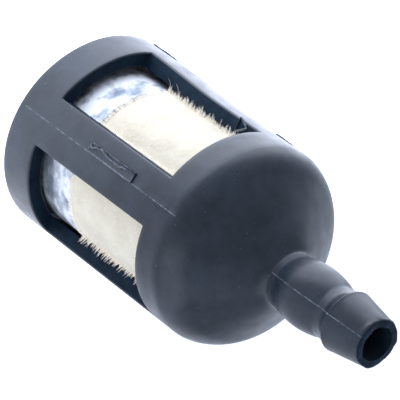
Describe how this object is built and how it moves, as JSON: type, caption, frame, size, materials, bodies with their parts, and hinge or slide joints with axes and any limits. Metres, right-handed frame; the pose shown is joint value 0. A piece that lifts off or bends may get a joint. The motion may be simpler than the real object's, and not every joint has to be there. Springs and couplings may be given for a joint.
{
  "type": "fuel filter",
  "caption": "Weighted in-tank fuel pickup filter: moulded windowed cage with felt sleeve, steel weight and hose barb.",
  "frame": {"origin": "on the filter's axis, in the plane of its rear rim, which is the end it stands on", "axes": "+Z along the filter's axis from the rear rim towards the hose barb; the windows face +X, +Y, -X and -Y"},
  "size_m": [0.0176, 0.0176, 0.038],
  "materials": {
    "housing_nylon": "satin moulded, charcoal",
    "plated_steel": "zinc plated, mottled and streaky",
    "core_nylon": "natural moulded",
    "screen_cloth": "fine woven screen",
    "wool_felt": "fuzzy cream felt"
  },
  "bodies": {
    "root": {"cage_housing": "housing_nylon", "ballast_weight": "plated_steel", "support_core": "core_nylon", "mesh_screen": "screen_cloth", "felt_sleeve": "wool_felt"}
  },
  "joints": []
}
